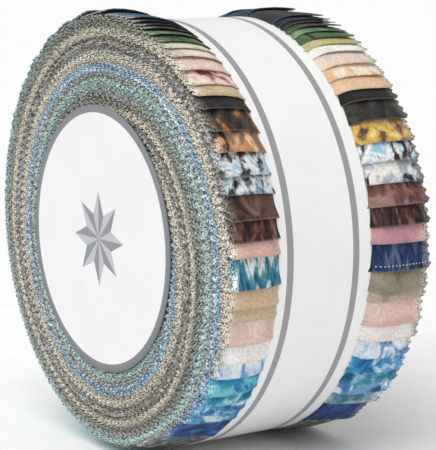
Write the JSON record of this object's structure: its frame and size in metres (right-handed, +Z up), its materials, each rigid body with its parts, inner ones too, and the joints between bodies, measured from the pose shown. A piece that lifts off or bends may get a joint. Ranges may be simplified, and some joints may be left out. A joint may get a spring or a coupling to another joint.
{
  "type": "roll of quilting fabric strips",
  "caption": "Round roll of cotton quilting fabric strips wound together, ends stepped round the rim, in a plain paper band with a round card on the front.",
  "frame": {"origin": "bottom centre of the whole part's box, on the surface that the roll stands on", "axes": "+Z up; the roll's axis runs along Y, and its front face with the card looks towards -Y; the strips' free ends run down the +X side"},
  "size_m": [0.1234, 0.0648, 0.1219],
  "materials": {
    "strips": "printed quilting cotton with pinked edges",
    "band": "coated paper with a soft sheen and two plain grey lines",
    "label": "white card with a plain grey border"
  },
  "bodies": {
    "root": {"roll": "strips", "band": "band", "label": "label"}
  },
  "joints": []
}
